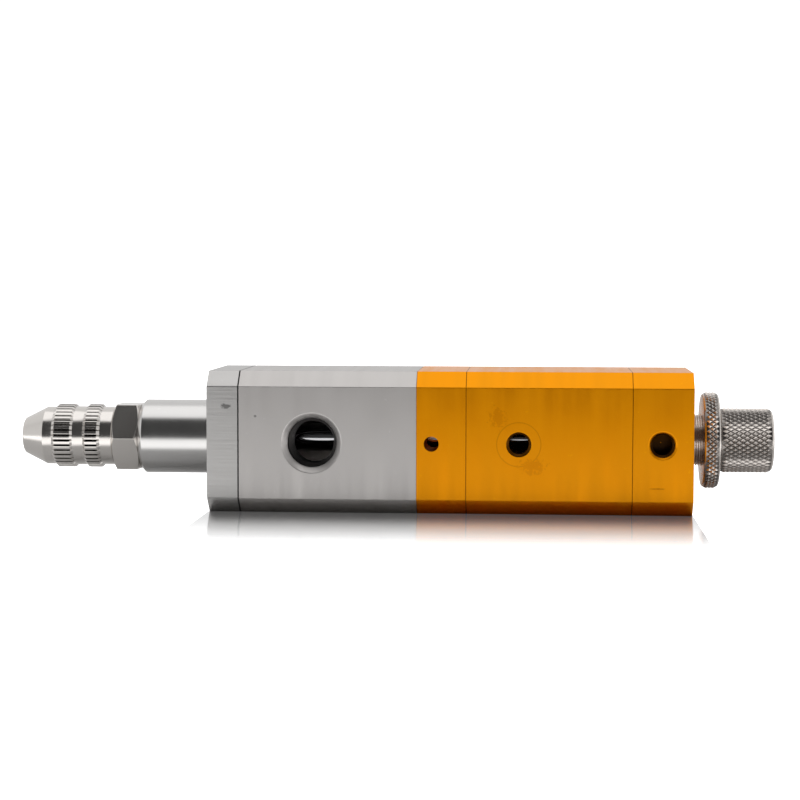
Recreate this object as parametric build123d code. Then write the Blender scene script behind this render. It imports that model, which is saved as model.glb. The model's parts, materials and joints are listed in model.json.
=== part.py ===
from build123d import *
import os
from math import cos, radians, sqrt, tan

# A pneumatic dispensing valve, normally closed, for one liquid. Air at the cylinder's port pushes the
# piston back, the rod's cone leaves its seat and the liquid runs out through the nozzle. The spring shuts
# it again. The knob at the rear limits how far the piston goes, and the lock nut holds the knob.
# Millimetres. Everything lies on one axis, along X: nozzle towards -X, knob towards +X, ports towards -Y.
# Stations along the axis are counted from the front face of the square body. The frame's origin is below
# the middle of the whole valve, on the surface that the body lies on, with +Z up.

os.makedirs("parts", exist_ok=True)

# --- square body: five blocks in a row ---
body_side = 30.0
body_edge_chamfer = 3.2
front_cap_length = 6.75
fluid_body_length = 37.5
spacer_length = 10.4
cylinder_length = 34.6
rear_cap_length = 12.65

# --- screws through the blocks, M4 socket heads ---
screw_inset = 4.8              # from each side face to a screw's axis
screw_d = 4.0
screw_hole_clearance = 0.15
screw_head_d = 7.0
screw_head_height = 4.0
head_clearance = 0.2
head_recess = 0.3              # how far a head lies below the face
socket_across_flats = 3.0
socket_depth = 2.0
front_screw_grip = 7.55        # thread in the fluid body
tie_screw_grip = 6.65
tap_run_out = 1.5

# --- fluid body ---
chamber_d = 14.0
chamber_length = 23.5
inlet_x = 15.45                # from the fluid body's front face
inlet_d = 10.24                # a 1/8 inch taper pipe thread, at its large end
inlet_mouth_d = 12.7
rod_seal_d = 13.0
rod_seal_length = 4.0
rod_seal_groove_depth = 1.6
rod_seal_lip_wall = 0.9
retainer_length = 6.0
retainer_key_hole_d = 1.6
retainer_key_hole_depth = 2.0
rear_mount_hole_d = 4.0
rear_mount_hole_depth = 6.0
rear_mount_spacing = 20.0

# --- outlet: collar, seat, adapter, needle cap ---
collar_d = 16.0
collar_reach = 16.5            # in front of the front cap
collar_flange_step = 1.5       # the flange is this much wider than the collar, all round
collar_flange_thickness = 3.1
collar_edge_chamfer = 1.0
outlet_bore_d = 4.0
seat_d = 9.0
seat_length = 5.0
seat_orifice_d = 2.4
seat_mouth_d = 6.4
seat_ring_x = 2.4              # from the seat's front face
adapter_hex = 14.0             # across flats
adapter_hex_length = 5.6
adapter_hex_chamfer_angle = 30
adapter_stub_d = 8.0
adapter_stub_length = 7.5
adapter_stub_gap = 1.0         # left free behind the stub
adapter_bore_d = 2.6
adapter_ring_width = 1.3
needle_thread_d = 9.0
needle_thread_length = 6.3
nose_d = 5.6
nose_length = 2.8
cap_length = 20.3
cap_tip_d = 7.6
cap_tip_round = 0.7
cap_cone_length = 5.0
cap_land_d = 12.6
cap_groove_d = 12.8
cap_band_d = 13.8
cap_band_bevel = 0.5
front_band_x = (7.1, 11.6)     # from the cap's tip
rear_band_x = (13.9, 17.5)
cap_needle_bore_d = 4.6
cap_shoulder_x = 8.0           # from the tip to the chamber for the needle's hub
cap_thread_run_out = 0.6
hub_chamber_step = 0.9         # the hub's chamber is this much narrower than the thread, all round
gasket_thickness = 1.5
gasket_wall_gap = 0.1
gasket_bore_d = 3.0
cap_gap = 0.1                  # between the cap and the adapter's hexagon

# --- spacer ---
weep_x = 3.15                  # from the spacer's front face
weep_d = 3.1
weep_cavity_d = 11.0
weep_cavity_length = 5.25
bush_d = 10.0
bush_ring_x = 2.0              # from the bush's front face

# --- cylinder, piston and rod ---
cylinder_bore_d = 19.0
air_port_d = 5.0               # major diameter of M5
cylinder_port_mouth_d = 5.2
rear_port_mouth_d = 5.9
cylinder_port_x = 11.0         # from the cylinder's front face
rod_d = 6.0
tip_cone_half_angle = 30
tip_flat_d = 1.8
tip_body_length = 3.4
tip_stub_d = 3.0
tip_stub_length = 4.0
piston_x = 15.35               # from the cylinder's front face
piston_length = 8.0
piston_spigot_d = 5.0
piston_ring_x = 3.4            # from the piston's front face
piston_ring = 1.9
washer_d = 9.0
washer_thickness = 0.8
piston_nut_hex = 8.0
piston_nut_thickness = 2.7
rod_end_stick_out = 1.0

# --- rear cap and adjuster ---
spring_pocket_d = 14.0
spring_pocket_depth = 2.5
spring_wire_d = 1.1
spring_mean_d = 12.0
spring_coils = 5
plug_d = 9.2
plug_bore_length = 5.25
rear_port_x = 6.2              # from the rear cap's front face
passage_d = 1.8
passage_radius = 8.4           # from the axis
stem_d = 11.0                  # major diameter of the adjusting thread
stem_nose_d = 6.0
stem_nose_gap = 2.7            # between the rod's end and the stem's nose, valve shut
plug_x = -0.75                 # the plug's front end, from the bottom of the spring's pocket
plug_ring_x = 2.35             # the plug's ring, from the bottom of the spring's pocket
stem_thread_x = 6.65           # the thread's front end, from the bottom of the spring's pocket
lock_nut_gap = 2.6             # between the rear cap and the lock nut
lock_nut_d = 20.6
lock_nut_thickness = 3.45
lock_nut_bevel = 0.45
lock_washer_wall = 1.0
lock_washer_thickness = 0.3
knob_d = 13.7
knob_length = 11.1
knob_round = 0.8

# --- fits ---
running_gap = 0.05             # radial, between pieces that slide or turn on each other
face_gap = 0.05                # between flat faces of pieces that move apart
seat_gap = 0.1                 # between the rod's cone and its seat
rod_hole_gap = 0.2             # radial, where the rod passes with no bearing
ring_side_room = 1.3           # a groove's width over its ring's thickness
ring_land_share = 0.42         # an end ring's thickness over the land that it lies on
static_ring = 0.8              # thickness of the small rings
face_ring = 1.2                # thickness of the ring behind the collar's flange

collar_flange_d = collar_d + 2 * collar_flange_step

# --- stations along the axis ---
x_fluid_body = front_cap_length
x_spacer = x_fluid_body + fluid_body_length
x_cylinder = x_spacer + spacer_length
x_rear_cap = x_cylinder + cylinder_length
x_rear_face = x_rear_cap + rear_cap_length
x_collar_end = -collar_reach
x_cap_rear = x_collar_end - adapter_hex_length - cap_gap
x_cap_tip = x_cap_rear - cap_length
x_pocket_bottom = x_rear_cap + spring_pocket_depth
x_lock_nut = x_rear_face + lock_nut_gap
x_lock_washer = x_lock_nut + lock_nut_thickness + face_gap
x_knob = x_lock_washer + lock_washer_thickness + face_gap
x_knob_end = x_knob + knob_length
x_piston = x_cylinder + piston_x
x_rod_end = x_piston + piston_length + washer_thickness + piston_nut_thickness + rod_end_stick_out

screw_offset = body_side / 2 - screw_inset
screw_hole_d = screw_d + 2 * screw_hole_clearance
head_pocket_d = screw_head_d + 2 * head_clearance
head_pocket_depth = screw_head_height + head_recess
to_frame = Pos(-(x_cap_tip + x_knob_end) / 2, 0, body_side / 2)


def bar(x_from, x_to, diameter):
    """A round bar on the valve's axis."""
    return Pos((x_from + x_to) / 2, 0, 0) * Cylinder(diameter / 2, x_to - x_from, rotation=(0, 90, 0))


def tube(x_from, x_to, outer_d, inner_d):
    return bar(x_from, x_to, outer_d) - bar(x_from, x_to, inner_d)


def hex_bar(x_from, x_to, across_flats):
    """A hexagonal bar on the axis, with flats at its top and bottom."""
    outline = Plane.YZ.offset(x_from) * RegularPolygon(across_flats / 2, 6, major_radius=False, rotation=0)
    return extrude(outline, x_to - x_from)


def turned(profile):
    """A solid turned about the axis from a closed line of (station, radius) points."""
    return revolve(make_face(Polyline(*profile, close=True)), axis=Axis.X)


def o_ring(x_middle, inner_d, thickness):
    """A round-section ring on the axis."""
    return Pos(x_middle, 0, 0) * Torus(inner_d / 2 + thickness / 2, thickness / 2, rotation=(0, 90, 0))


def ring_groove(x_middle, floor_d, outer_d, thickness):
    """What is cut away so that a ring of this thickness has side room."""
    half_width = thickness * ring_side_room / 2
    return tube(x_middle - half_width, x_middle + half_width, outer_d, floor_d)


def block(x_from, x_to):
    """One block of the square body, with its four long edges chamfered."""
    solid = Pos((x_from + x_to) / 2, 0, 0) * Box(x_to - x_from, body_side, body_side)
    return chamfer(solid.edges().filter_by(Axis.X), body_edge_chamfer)


def at_screws(shape):
    """Four copies of a shape on the axis, moved to the four screws' places."""
    return [Pos(0, y, z) * shape for y in (-screw_offset, screw_offset) for z in (-screw_offset, screw_offset)]


def cross_hole(x, y_from, y_to, diameter):
    """A round hole at mid height, square to the axis."""
    return Pos(x, (y_from + y_to) / 2, 0) * Cylinder(diameter / 2, y_to - y_from, rotation=(90, 0, 0))


def port(x, y_bottom, thread_d, mouth_d):
    """A threaded port in the -Y face, with a 45 degree mouth."""
    y_face = -body_side / 2
    mouth_depth = (mouth_d - thread_d) / 2
    mouth = Pos(x, y_face + mouth_depth / 2, 0) * Cone(
        thread_d / 2, mouth_d / 2, mouth_depth, rotation=(90, 0, 0))
    return cross_hole(x, y_face, y_bottom, thread_d) + mouth


def socket_screw(x_head_end, direction, grip_end):
    """A socket-head screw on the axis. Its head starts at x_head_end and its thread ends at grip_end."""
    x_under_head = x_head_end + direction * screw_head_height
    head = bar(min(x_head_end, x_under_head), max(x_head_end, x_under_head), screw_head_d)
    head = chamfer(head.faces().sort_by(Axis.X)[0 if direction > 0 else -1].edges(), screw_head_height / 12)
    shank = bar(min(x_under_head, grip_end), max(x_under_head, grip_end), screw_d)
    x_socket_end = x_head_end + direction * socket_depth
    socket = hex_bar(min(x_head_end, x_socket_end), max(x_head_end, x_socket_end), socket_across_flats)
    return head + shank - socket


def save(node, *shapes):
    """Moves a node's solids to the frame and writes them to their own file."""
    placed = [to_frame * shape for shape in shapes]
    export_step(placed[0] if len(placed) == 1 else Compound(children=placed), f"parts/{node}.step")


# --- front cap, its screws and the outlet collar ---
x_flange = front_cap_length - collar_flange_thickness
front_cap = block(0, front_cap_length) - bar(0, front_cap_length, collar_d + 2 * running_gap)
front_cap -= bar(x_flange, front_cap_length, collar_flange_d + 2 * running_gap)
front_cap -= at_screws(bar(0, front_cap_length, screw_hole_d))
front_cap -= at_screws(bar(0, head_pocket_depth, head_pocket_d))
save("front_cap", front_cap)

x_front_grip_end = x_fluid_body + front_screw_grip
save("front_cap_screws", *at_screws(socket_screw(head_recess, 1, x_front_grip_end)))

x_seat = front_cap_length - seat_length
x_adapter_socket_end = x_collar_end + adapter_stub_length + adapter_stub_gap
collar = bar(x_collar_end, x_flange, collar_d)
collar = chamfer(collar.faces().sort_by(Axis.X)[0].edges(), collar_edge_chamfer)
collar += bar(x_flange, front_cap_length, collar_flange_d)
collar -= bar(x_collar_end, front_cap_length, outlet_bore_d)
collar -= bar(x_collar_end, x_adapter_socket_end, adapter_stub_d)
collar -= bar(x_seat, front_cap_length, seat_d)
save("outlet_collar", collar)

# --- seat: a cone that the rod's tip closes ---
cone_slope = tan(radians(tip_cone_half_angle))
x_seat_cone_end = front_cap_length - (seat_mouth_d - seat_orifice_d) / 2 / cone_slope
seat = turned([
    (x_seat, seat_orifice_d / 2), (x_seat_cone_end, seat_orifice_d / 2), (front_cap_length, seat_mouth_d / 2),
    (front_cap_length, seat_d / 2), (x_seat, seat_d / 2)])
x_seat_ring = x_seat + seat_ring_x
seat_ring_floor_d = seat_d - 2 * static_ring
seat -= ring_groove(x_seat_ring, seat_ring_floor_d, seat_d, static_ring)
save("valve_seat", seat)
save("seat_o_ring", o_ring(x_seat_ring, seat_ring_floor_d, static_ring))

# --- adapter: stub into the collar, hexagon, needle thread, nose ---
x_hex = x_collar_end - adapter_hex_length
x_thread_end = x_hex - needle_thread_length
x_nose_end = x_thread_end - nose_length
x_stub_end = x_collar_end + adapter_stub_length
hex_corner_r = adapter_hex / sqrt(3)
hex_corner_cut = (hex_corner_r - adapter_hex / 2) * tan(radians(adapter_hex_chamfer_angle))
adapter = hex_bar(x_hex, x_collar_end, adapter_hex) & turned([
    (x_hex, 0), (x_hex, adapter_hex / 2), (x_hex + hex_corner_cut, hex_corner_r),
    (x_collar_end - hex_corner_cut, hex_corner_r), (x_collar_end, adapter_hex / 2), (x_collar_end, 0)])
adapter += bar(x_collar_end, x_stub_end, adapter_stub_d)
adapter += bar(x_thread_end, x_hex, needle_thread_d)
adapter += bar(x_nose_end, x_thread_end, nose_d)
adapter_ring_floor_d = adapter_stub_d - 2 * static_ring
x_adapter_ring = x_collar_end + adapter_ring_width / 2
adapter -= tube(x_collar_end, x_collar_end + adapter_ring_width, adapter_stub_d, adapter_ring_floor_d)
adapter -= bar(x_nose_end, x_stub_end, adapter_bore_d)
save("needle_adapter", adapter)
save("adapter_o_ring", o_ring(x_adapter_ring, adapter_ring_floor_d, static_ring))

# --- needle lock cap and its gasket ---
x_gasket = x_nose_end - face_gap - gasket_thickness
hub_chamber_d = needle_thread_d - 2 * hub_chamber_step
cap = turned([
    (x_cap_tip, 0), (x_cap_tip, cap_tip_d / 2), (x_cap_tip + cap_cone_length, cap_land_d / 2),
    (x_cap_rear, cap_land_d / 2), (x_cap_rear, 0)])
cap = fillet(cap.faces().sort_by(Axis.X)[0].edges(), cap_tip_round)
for band_from, band_to in (front_band_x, rear_band_x):
    x_band, x_band_end = x_cap_tip + band_from, x_cap_tip + band_to
    bevel_r = cap_band_d / 2 - cap_band_bevel
    cap += turned([
        (x_band, 0), (x_band, bevel_r), (x_band + cap_band_bevel, cap_band_d / 2),
        (x_band_end - cap_band_bevel, cap_band_d / 2), (x_band_end, bevel_r), (x_band_end, 0)])
cap += bar(x_cap_tip + front_band_x[1], x_cap_tip + rear_band_x[0], cap_groove_d)
cap -= bar(x_cap_tip, x_cap_rear, cap_needle_bore_d)
cap -= bar(x_cap_tip + cap_shoulder_x, x_cap_rear, hub_chamber_d)
cap -= bar(x_thread_end - cap_thread_run_out, x_cap_rear, needle_thread_d + 2 * running_gap)
save("needle_lock_cap", cap)
save("needle_gasket", tube(x_gasket, x_gasket + gasket_thickness, hub_chamber_d - 2 * gasket_wall_gap,
                           gasket_bore_d))

# --- fluid body ---
x_chamber_end = x_fluid_body + chamber_length
x_rod_seal = x_spacer - retainer_length - rod_seal_length
x_inlet = x_fluid_body + inlet_x
face_ring_inner_d = chamber_d + face_ring
fluid_body = block(x_fluid_body, x_spacer) - bar(x_fluid_body, x_chamber_end, chamber_d)
fluid_body -= bar(x_fluid_body, x_spacer, rod_d + 2 * rod_hole_gap)
fluid_body -= bar(x_rod_seal, x_spacer, rod_seal_d)
fluid_body -= port(x_inlet, 0, inlet_d, inlet_mouth_d)
fluid_body -= tube(x_fluid_body, x_fluid_body + face_ring, face_ring_inner_d + 2 * face_ring * ring_side_room,
                   face_ring_inner_d)
fluid_body -= at_screws(bar(x_fluid_body, x_front_grip_end + tap_run_out, screw_d))
fluid_body -= at_screws(bar(x_spacer - tie_screw_grip - tap_run_out, x_spacer, screw_d))
x_mount_middle = x_fluid_body + fluid_body_length / 2
for x_mount in (x_mount_middle - rear_mount_spacing / 2, x_mount_middle + rear_mount_spacing / 2):
    fluid_body -= cross_hole(x_mount, body_side / 2 - rear_mount_hole_depth, body_side / 2, rear_mount_hole_d)
save("fluid_body", fluid_body)
save("front_cap_o_ring", o_ring(x_fluid_body + face_ring / 2, face_ring_inner_d, face_ring))

# --- the liquid's rod seal, a ring with a lip groove, and the ring that holds it ---
seal_lip_outer_d = rod_seal_d - 2 * rod_seal_lip_wall
seal_lip_inner_d = rod_d + 2 * rod_seal_lip_wall
rod_seal = tube(x_rod_seal, x_rod_seal + rod_seal_length, rod_seal_d, rod_d + 2 * running_gap)
rod_seal -= tube(x_rod_seal, x_rod_seal + rod_seal_groove_depth, seal_lip_outer_d, seal_lip_inner_d)
save("fluid_rod_seal", rod_seal)
retainer = tube(x_spacer - retainer_length, x_spacer, rod_seal_d, rod_d + 2 * rod_hole_gap)
key_hole_offset = (rod_seal_d + rod_d) / 4
for z in (-key_hole_offset, key_hole_offset):
    retainer -= Pos(0, 0, z) * bar(x_spacer - retainer_key_hole_depth, x_spacer, retainer_key_hole_d)
save("seal_retainer", retainer)

# --- end rings of the cylinder: each lies on the land between the bore and the screws ---
land_inner_r = cylinder_bore_d / 2
land_outer_r = screw_offset * sqrt(2) - screw_hole_d / 2
end_ring = (land_outer_r - land_inner_r) * ring_land_share
end_ring_inner_d = land_inner_r + land_outer_r - end_ring
end_groove_outer_d = end_ring_inner_d + 2 * end_ring * ring_side_room

# --- spacer, with the weep hole, and the rod's guide ---
x_bush = x_spacer + weep_cavity_length
spacer = block(x_spacer, x_cylinder) - bar(x_spacer, x_bush, weep_cavity_d)
spacer -= bar(x_bush, x_cylinder, bush_d)
spacer -= cross_hole(x_spacer + weep_x, -body_side / 2, 0, weep_d)
spacer -= at_screws(bar(x_spacer, x_cylinder, screw_hole_d))
spacer -= tube(x_cylinder - end_ring, x_cylinder, end_groove_outer_d, end_ring_inner_d)
save("spacer_block", spacer)
save("spacer_o_ring", o_ring(x_cylinder - end_ring / 2, end_ring_inner_d, end_ring))

bush_bore_d = rod_d + 2 * running_gap
x_bush_ring = x_bush + bush_ring_x
bush = tube(x_bush, x_cylinder, bush_d, bush_bore_d)
bush -= ring_groove(x_bush_ring, bush_bore_d, bush_bore_d + 2 * static_ring, static_ring)
save("rod_guide_bush", bush)
save("rod_o_ring", o_ring(x_bush_ring, bush_bore_d, static_ring))

# --- cylinder ---
cylinder = block(x_cylinder, x_rear_cap) - bar(x_cylinder, x_rear_cap, cylinder_bore_d)
cylinder -= port(x_cylinder + cylinder_port_x, 0, air_port_d, cylinder_port_mouth_d)
cylinder -= at_screws(bar(x_cylinder, x_rear_cap, screw_hole_d))
save("cylinder_body", cylinder)

# --- rear cap: spring pocket, plain bore for the plug, thread, port and its air passage ---
x_plug_bore_end = x_pocket_bottom + plug_bore_length
x_rear_port = x_rear_cap + rear_port_x
rear_cap = block(x_rear_cap, x_rear_face) - bar(x_rear_cap, x_pocket_bottom, spring_pocket_d)
rear_cap -= bar(x_pocket_bottom, x_plug_bore_end, plug_d + 2 * running_gap)
rear_cap -= bar(x_plug_bore_end, x_rear_face, stem_d + 2 * running_gap)
rear_cap -= port(x_rear_port, -(passage_radius - passage_d / 2), air_port_d, rear_port_mouth_d)
rear_cap -= Pos(0, -passage_radius, 0) * bar(x_rear_cap, x_rear_port + passage_d / 2, passage_d)
rear_cap -= at_screws(bar(x_rear_cap, x_rear_face, screw_hole_d))
rear_cap -= at_screws(bar(x_rear_face - head_pocket_depth, x_rear_face, head_pocket_d))
rear_cap -= tube(x_rear_cap, x_rear_cap + end_ring, end_groove_outer_d, end_ring_inner_d)
save("rear_cap", rear_cap)
save("rear_cap_o_ring", o_ring(x_rear_cap + end_ring / 2, end_ring_inner_d, end_ring))
save("rear_tie_screws", *at_screws(socket_screw(x_rear_face - head_recess, -1, x_spacer - tie_screw_grip)))

# --- rod and its cone: the cone stays seat_gap off the seat, measured square to the surface ---
tip_r_at_mouth = seat_mouth_d / 2 - seat_gap / cos(radians(tip_cone_half_angle))
x_tip_full = front_cap_length - (tip_r_at_mouth - rod_d / 2) / cone_slope
x_tip_flat = front_cap_length - (tip_r_at_mouth - tip_flat_d / 2) / cone_slope
x_rod = x_tip_full + tip_body_length
tip = turned([
    (x_tip_flat, 0), (x_tip_flat, tip_flat_d / 2), (x_tip_full, rod_d / 2), (x_rod, rod_d / 2), (x_rod, 0)])
tip += bar(x_rod, x_rod + tip_stub_length, tip_stub_d)
save("rod_tip", tip)
rod = bar(x_rod, x_piston, rod_d) + bar(x_piston, x_rod_end, piston_spigot_d)
rod -= bar(x_rod, x_rod + tip_stub_length, tip_stub_d)
save("valve_rod", rod)

# --- piston, its seal, washer and nut ---
x_washer = x_piston + piston_length
x_piston_nut = x_washer + washer_thickness
piston_d = cylinder_bore_d - 2 * running_gap
piston_ring_floor_d = piston_d - 2 * piston_ring
piston = tube(x_piston, x_washer, piston_d, piston_spigot_d)
piston -= ring_groove(x_piston + piston_ring_x, piston_ring_floor_d, piston_d, piston_ring)
save("piston", piston)
save("piston_seal", o_ring(x_piston + piston_ring_x, piston_ring_floor_d, piston_ring))
save("piston_washer", tube(x_washer, x_piston_nut, washer_d, piston_spigot_d))
x_nut_end = x_piston_nut + piston_nut_thickness
save("piston_nut", hex_bar(x_piston_nut, x_nut_end, piston_nut_hex) - bar(x_piston_nut, x_nut_end, piston_spigot_d))

# --- return spring, from the piston to the bottom of its pocket ---
spring_from = x_washer + spring_wire_d / 2 + face_gap
spring_to = x_pocket_bottom - spring_wire_d / 2 - face_gap
spring_rise = spring_to - spring_from
spring_line = Helix(spring_rise / spring_coils, spring_rise, spring_mean_d / 2)
spring_start = Plane(origin=spring_line @ 0, z_dir=spring_line % 0)
spring = sweep(spring_start * Circle(spring_wire_d / 2), path=spring_line, is_frenet=True)
save("return_spring", Pos(spring_from, 0, 0) * Rot(0, 90, 0) * spring)

# --- adjusting knob with its stem: nose, sealed plug, thread, knurled head ---
x_plug_ring = x_pocket_bottom + plug_ring_x
plug_ring_floor_d = plug_d - 2 * (static_ring + 2 * running_gap)
knob = bar(x_knob, x_knob_end, knob_d)
knob = fillet(knob.faces().sort_by(Axis.X)[-1].edges(), knob_round)
knob += bar(x_pocket_bottom + stem_thread_x, x_knob, stem_d)
knob += bar(x_pocket_bottom + plug_x, x_pocket_bottom + stem_thread_x, plug_d)
knob += bar(x_rod_end + stem_nose_gap, x_pocket_bottom + plug_x, stem_nose_d)
knob -= ring_groove(x_plug_ring, plug_ring_floor_d, plug_d, static_ring + running_gap)
save("adjusting_knob", knob)
save("adjuster_o_ring", o_ring(x_plug_ring, plug_ring_floor_d + 2 * running_gap, static_ring))

# --- lock nut and its washer ---
lock_bore_d = stem_d + 2 * running_gap
lock_nut = bar(x_lock_nut, x_lock_nut + lock_nut_thickness, lock_nut_d)
lock_nut = chamfer(lock_nut.edges().filter_by(GeomType.CIRCLE), lock_nut_bevel)
lock_nut -= bar(x_lock_nut, x_lock_nut + lock_nut_thickness, lock_bore_d)
save("lock_nut", lock_nut)
save("lock_nut_washer", tube(x_lock_washer, x_lock_washer + lock_washer_thickness,
                             stem_d + 2 * lock_washer_wall, lock_bore_d))

print(f"length {x_knob_end - x_cap_tip:.2f}, frame starts at station {(x_cap_tip + x_knob_end) / 2:.2f}")
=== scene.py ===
# %% [markdown]
# # Dressing a pneumatic dispensing valve
# The design is already made as solids. This lesson loads it as a fixed frame and gives every piece the
# surface that the real one has: anodised aluminium blocks, a turned steel collar, nickel-plated caps with
# flutes and diamond knurls, and screw threads that can be seen. Positions are read from the frame and never
# typed in twice.

# %% Load the frame
import bpy
import json
import math
from mathutils import Euler, Matrix, Vector

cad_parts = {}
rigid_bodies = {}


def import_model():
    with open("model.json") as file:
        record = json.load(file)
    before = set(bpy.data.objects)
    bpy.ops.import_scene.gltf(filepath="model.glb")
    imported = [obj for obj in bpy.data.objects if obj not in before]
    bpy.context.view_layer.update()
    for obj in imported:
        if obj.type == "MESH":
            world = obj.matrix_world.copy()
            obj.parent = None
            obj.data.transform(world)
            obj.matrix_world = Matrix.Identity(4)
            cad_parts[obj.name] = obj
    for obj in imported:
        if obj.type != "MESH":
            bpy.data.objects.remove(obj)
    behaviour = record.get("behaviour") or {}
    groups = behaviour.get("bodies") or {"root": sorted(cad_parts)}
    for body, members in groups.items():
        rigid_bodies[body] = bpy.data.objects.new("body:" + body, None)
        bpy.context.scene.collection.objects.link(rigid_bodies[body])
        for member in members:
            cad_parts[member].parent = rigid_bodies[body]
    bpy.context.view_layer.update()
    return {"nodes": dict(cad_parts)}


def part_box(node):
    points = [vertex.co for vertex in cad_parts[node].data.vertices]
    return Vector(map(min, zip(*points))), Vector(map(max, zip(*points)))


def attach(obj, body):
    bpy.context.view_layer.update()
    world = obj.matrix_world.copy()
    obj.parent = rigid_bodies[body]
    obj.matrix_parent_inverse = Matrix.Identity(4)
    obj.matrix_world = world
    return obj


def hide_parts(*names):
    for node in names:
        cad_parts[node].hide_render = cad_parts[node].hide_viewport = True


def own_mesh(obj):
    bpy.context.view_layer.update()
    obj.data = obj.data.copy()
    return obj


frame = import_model()
MM = 0.001
print("frame loaded with", len(frame["nodes"]), "nodes")

# %% [markdown]
# ## Where things are
# Everything round in this valve sits on one line along X, so one height and one place is enough for all of
# it. `span` gives where a piece starts and ends along that line.

# %% The valve's axis
def span(node):
    """Where a CAD node starts and ends along X."""
    low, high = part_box(node)
    return low.x, high.x


body_low, body_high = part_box("fluid_body")
AXIS_HEIGHT = (body_low.z + body_high.z) / 2
FRONT_FACE = body_low.y
print("axis height", round(AXIS_HEIGHT / MM, 2), "mm")

# %% [markdown]
# ## The camera
# A short telephoto looks from a little above, with the knob's end turned slightly nearer. A camera's angle,
# place and lens belong together: a longer lens from further away would flatten the block.

# %% Camera
CAMERA_PLACE = Vector((31.2, -418.1, 50.8)) * MM
CAMERA_TURN = 4.09       # degrees to the left of straight ahead
CAMERA_DIP = 3.77        # degrees below the horizon
CAMERA_ROLL = 0.095
LENS_MM = 87.3

bpy.ops.object.select_all(action="DESELECT")
bpy.ops.object.camera_add(location=CAMERA_PLACE)
camera = bpy.context.active_object
aim = Euler((math.radians(90 - CAMERA_DIP), 0, math.radians(CAMERA_TURN))).to_matrix()
camera.rotation_euler = (aim @ Matrix.Rotation(math.radians(CAMERA_ROLL), 3, "Z")).to_euler()
camera.data.lens = LENS_MM
camera.data.sensor_width = 36
camera.data.clip_start = 0.01
bpy.context.scene.camera = camera
bpy.context.scene.view_settings.view_transform = "Standard"
print("camera looks", CAMERA_DIP, "degrees down through a", LENS_MM, "mm lens")

# %% [markdown]
# ## A small kit for node trees
# The room's light and every finish are node trees. These helpers make the few nodes that all of them use.

# %% Node helpers
def feed(tree, socket, value):
    """Gives a socket a number, or a link from another socket."""
    if isinstance(value, (int, float)):
        socket.default_value = value
    else:
        tree.links.new(value, socket)


def math_node(tree, operation, a, b=0.0):
    """A Math node on sockets or numbers. Returns its output."""
    node = tree.nodes.new("ShaderNodeMath")
    node.operation = operation
    feed(tree, node.inputs[0], a)
    feed(tree, node.inputs[1], b)
    return node.outputs[0]


def vector_node(tree, operation, a, b):
    """A Vector Math node on two vector sockets. Returns its vector output."""
    node = tree.nodes.new("ShaderNodeVectorMath")
    node.operation = operation
    tree.links.new(a, node.inputs[0])
    tree.links.new(b, node.inputs[1])
    return node.outputs[0]


def ramp_node(tree, value, start, end, kind="SMOOTHSTEP"):
    """0 up to start, 1 from end on. Returns the output."""
    node = tree.nodes.new("ShaderNodeMapRange")
    node.interpolation_type = kind
    node.inputs["From Min"].default_value = start
    node.inputs["From Max"].default_value = end
    tree.links.new(value, node.inputs["Value"])
    return node.outputs[0]


def noise_node(tree, vector, scale, detail, roughness=0.5):
    node = tree.nodes.new("ShaderNodeTexNoise")
    node.inputs["Detail"].default_value = detail
    node.inputs["Roughness"].default_value = roughness
    tree.links.new(vector, node.inputs["Vector"])
    feed(tree, node.inputs["Scale"], scale)
    return node.outputs["Fac"]


def split(tree, vector):
    """The X, Y and Z of a vector socket, as outputs to be read by name."""
    node = tree.nodes.new("ShaderNodeSeparateXYZ")
    tree.links.new(vector, node.inputs[0])
    return node.outputs


def from_line(tree, a, b):
    """How far a place is from a line, given its two distances square to the line."""
    squares = [math_node(tree, "MULTIPLY", side, side) for side in (a, b)]
    return math_node(tree, "SQRT", math_node(tree, "ADD", *squares))


def hold(tree, value):
    """Keeps a value between 0 and 1."""
    node = tree.nodes.new("ShaderNodeClamp")
    tree.links.new(value, node.inputs[0])
    return node.outputs[0]


# %% [markdown]
# ## Light
# Polished metal shows its surroundings, so a metal part is lit by deciding what it sees. Here that is a big
# soft box overhead, a white room behind, a white table below, and a dim room in front. The dim front gives
# round metal its dark band and flat metal its mid grey. The sky's shade depends on direction only.

# %% Soft box and room
BACKDROP_WHITE = 1.1


def area_light(name, place, size_x, size_y, power, aim_at):
    bpy.ops.object.select_all(action="DESELECT")
    bpy.ops.object.light_add(type="AREA", location=place)
    light = bpy.context.active_object
    light.name = name
    light.data.shape = "RECTANGLE"
    light.data.size = size_x
    light.data.size_y = size_y
    light.data.energy = power
    light.rotation_euler = (Vector(aim_at) - Vector(place)).to_track_quat("-Z", "Y").to_euler()
    light.visible_camera = False
    return light


area_light("soft_box", place=(0, -0.02, 0.55), size_x=0.9, size_y=0.5, power=0.7, aim_at=(0, -0.02, 0))


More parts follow.
